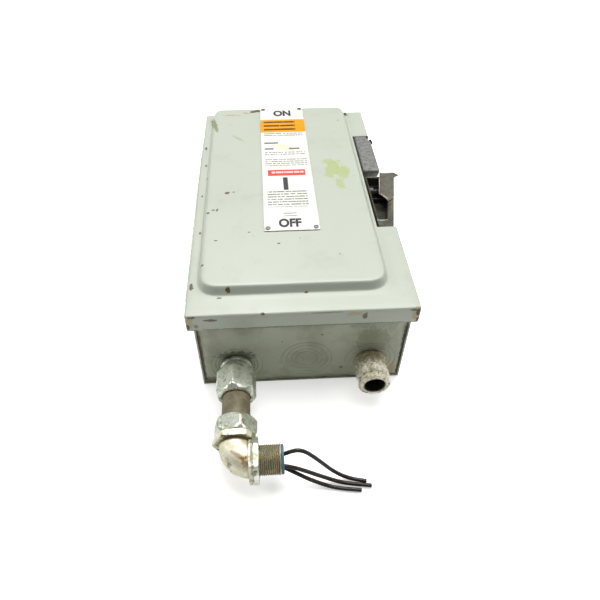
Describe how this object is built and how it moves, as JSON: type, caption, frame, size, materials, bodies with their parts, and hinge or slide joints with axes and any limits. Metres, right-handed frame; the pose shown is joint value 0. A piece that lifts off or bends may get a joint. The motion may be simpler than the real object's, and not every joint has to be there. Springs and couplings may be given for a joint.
{
  "type": "fused disconnect switch",
  "caption": "Side-operated enclosed fusible safety switch lying on its back, with hinged cover, conduit elbow and stub connector at one end, and loose black wires.",
  "frame": {"origin": "middle of the back panel's rear face, on the surface it lies on", "axes": "+Z out of the front cover, +Y to the top end away from the conduit fittings, +X to the handle side"},
  "size_m": [0.2413, 0.4985, 0.1166],
  "materials": {
    "cover_paint": "satin",
    "box_paint": "satin",
    "zinc_plated": "satin",
    "cast_zinc": "matte",
    "dull_steel": "satin",
    "copper": "satin",
    "phenolic": "matte",
    "fibre": "matte",
    "foam_rubber": "matte",
    "vinyl_tube": "satin",
    "blue_plastic": "satin",
    "black_pvc": "satin",
    "printed_plate": "satin"
  },
  "bodies": {
    "enclosure": {"enclosure_wrapper": "box_paint", "bottom_end_wall": "box_paint", "top_end_wall": "box_paint", "handle_recess": "box_paint", "hinge_box_leaf": "box_paint", "hinge_pin": "dull_steel", "handle_housing": "cast_zinc", "housing_lock_screw": "dull_steel", "shaft_bushing": "copper", "torsion_spring": "dull_steel", "crossbar_bearing_left": "zinc_plated", "crossbar_bearing_right": "zinc_plated", "line_base": "phenolic", "fuse_base": "phenolic", "line_shield": "fibre", "ground_lug": "zinc_plated", "connector_body": "zinc_plated", "connector_locknut": "zinc_plated", "connector_nut": "zinc_plated", "conduit_tube": "vinyl_tube", "elbow_nut": "zinc_plated", "elbow_body": "zinc_plated", "elbow_locknut": "zinc_plated", "throat_liner": "blue_plastic", "stub_connector": "cast_zinc", "stub_locknut": "zinc_plated", "stub_nut": "cast_zinc", "wire_rear": "black_pvc", "wire_middle": "black_pvc", "wire_front": "black_pvc", "line_terminal_1": "copper", "upper_fuse_clip_1": "copper", "load_terminal_1": "copper", "cartridge_fuse_1": "fibre", "line_terminal_2": "copper", "upper_fuse_clip_2": "copper", "load_terminal_2": "copper", "cartridge_fuse_2": "fibre", "line_terminal_3": "copper", "upper_fuse_clip_3": "copper", "load_terminal_3": "copper", "cartridge_fuse_3": "fibre"},
    "cover": {"cover": "cover_paint", "cover_gasket": "foam_rubber", "hinge_cover_leaf": "cover_paint", "cover_latch_spring": "dull_steel", "rating_label": "printed_plate", "label_rivet_1": "zinc_plated", "label_rivet_2": "zinc_plated", "label_rivet_3": "zinc_plated", "label_rivet_4": "zinc_plated"},
    "handle": {"operating_lever": "cast_zinc", "lockout_tab": "zinc_plated", "handle_shaft": "dull_steel", "operating_crank": "dull_steel"},
    "drive_link": {"drive_link": "dull_steel"},
    "blade_bar": {"crossbar": "phenolic", "moving_blade_1": "copper", "moving_blade_2": "copper", "moving_blade_3": "copper"}
  },
  "joints": [
    {"name": "cover_hinge", "type": "hinge", "parent": "enclosure", "child": "cover", "pos_m": [-0.1099, 0, 0.0863], "axis": [0, -1, 0], "range_deg": [0, 115]},
    {"name": "handle_throw", "type": "hinge", "parent": "enclosure", "child": "handle", "pos_m": [0.09, 0.014, 0.091], "axis": [-1, 0, 0], "range_deg": [0, 110]},
    {"name": "link_pivot", "type": "hinge", "parent": "handle", "child": "drive_link", "pos_m": [0.0628, 0.01095, 0.07734], "axis": [-1, 0, 0], "range_deg": [-110, 0]},
    {"name": "blade_swing", "type": "hinge", "parent": "enclosure", "child": "blade_bar", "pos_m": [0, 0.04, 0.03], "axis": [-1, 0, 0], "range_deg": [0, 65]}
  ],
  "couplings": [
    {"joint": "link_pivot", "follows": "handle_throw", "ratio": -1},
    {"joint": "blade_swing", "follows": "handle_throw", "ratio": 0.59091}
  ]
}
